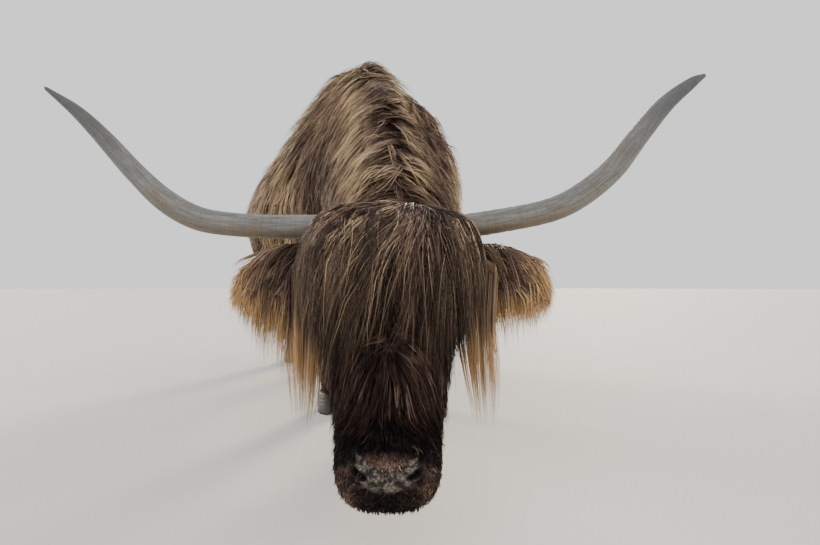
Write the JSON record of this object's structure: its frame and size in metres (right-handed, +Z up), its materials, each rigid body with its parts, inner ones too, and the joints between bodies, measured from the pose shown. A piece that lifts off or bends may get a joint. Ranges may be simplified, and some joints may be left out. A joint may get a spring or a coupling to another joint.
{
  "type": "highland cow",
  "caption": "Shaggy highland cow grazing with lowered head, long upswept horns, domed forelock, split hooves and hanging tail, as a still life-size model.",
  "frame": {"origin": "on the floor, under the middle of the model's box", "axes": "the cow faces -Y, its left side is +X and +Z is up"},
  "size_m": [1.1752, 2.2206, 1.1352],
  "materials": {
    "coat": "long shaggy brown coat, matt with soft sheen",
    "long_hair": "long straight brown hair with paler tips",
    "ear_hair": "long tan hair over a thin ear",
    "dark_coat": "short dark hair",
    "muzzle_skin": "bare grey nose pad among short dark hair",
    "horn": "weathered grey horn, darker at the tips",
    "claw_horn": "dark hoof horn",
    "eye": "wet and glossy",
    "udder_skin": "soft bare skin"
  },
  "bodies": {
    "root": {"barrel": "coat", "claw_fore_left_inner": "claw_horn", "claw_fore_left_outer": "claw_horn", "claw_fore_right_inner": "claw_horn", "claw_fore_right_outer": "claw_horn", "claw_hind_left_inner": "claw_horn", "claw_hind_left_outer": "claw_horn", "claw_hind_right_inner": "claw_horn", "claw_hind_right_outer": "claw_horn", "ear_left": "ear_hair", "ear_right": "ear_hair", "eye_left": "eye", "eye_right": "eye", "foreleg_lower_left": "coat", "foreleg_lower_right": "coat", "foreleg_upper_left": "coat", "foreleg_upper_right": "coat", "forelock": "long_hair", "forequarters": "coat", "head": "coat", "hindleg_lower_left": "coat", "hindleg_lower_right": "coat", "hindleg_upper_left": "coat", "hindleg_upper_right": "coat", "hindquarters": "coat", "horn_left": "horn", "horn_right": "horn", "lower_jaw": "dark_coat", "muzzle": "muzzle_skin", "neck": "coat", "tail": "coat", "tail_switch": "long_hair", "udder": "udder_skin"}
  },
  "joints": []
}
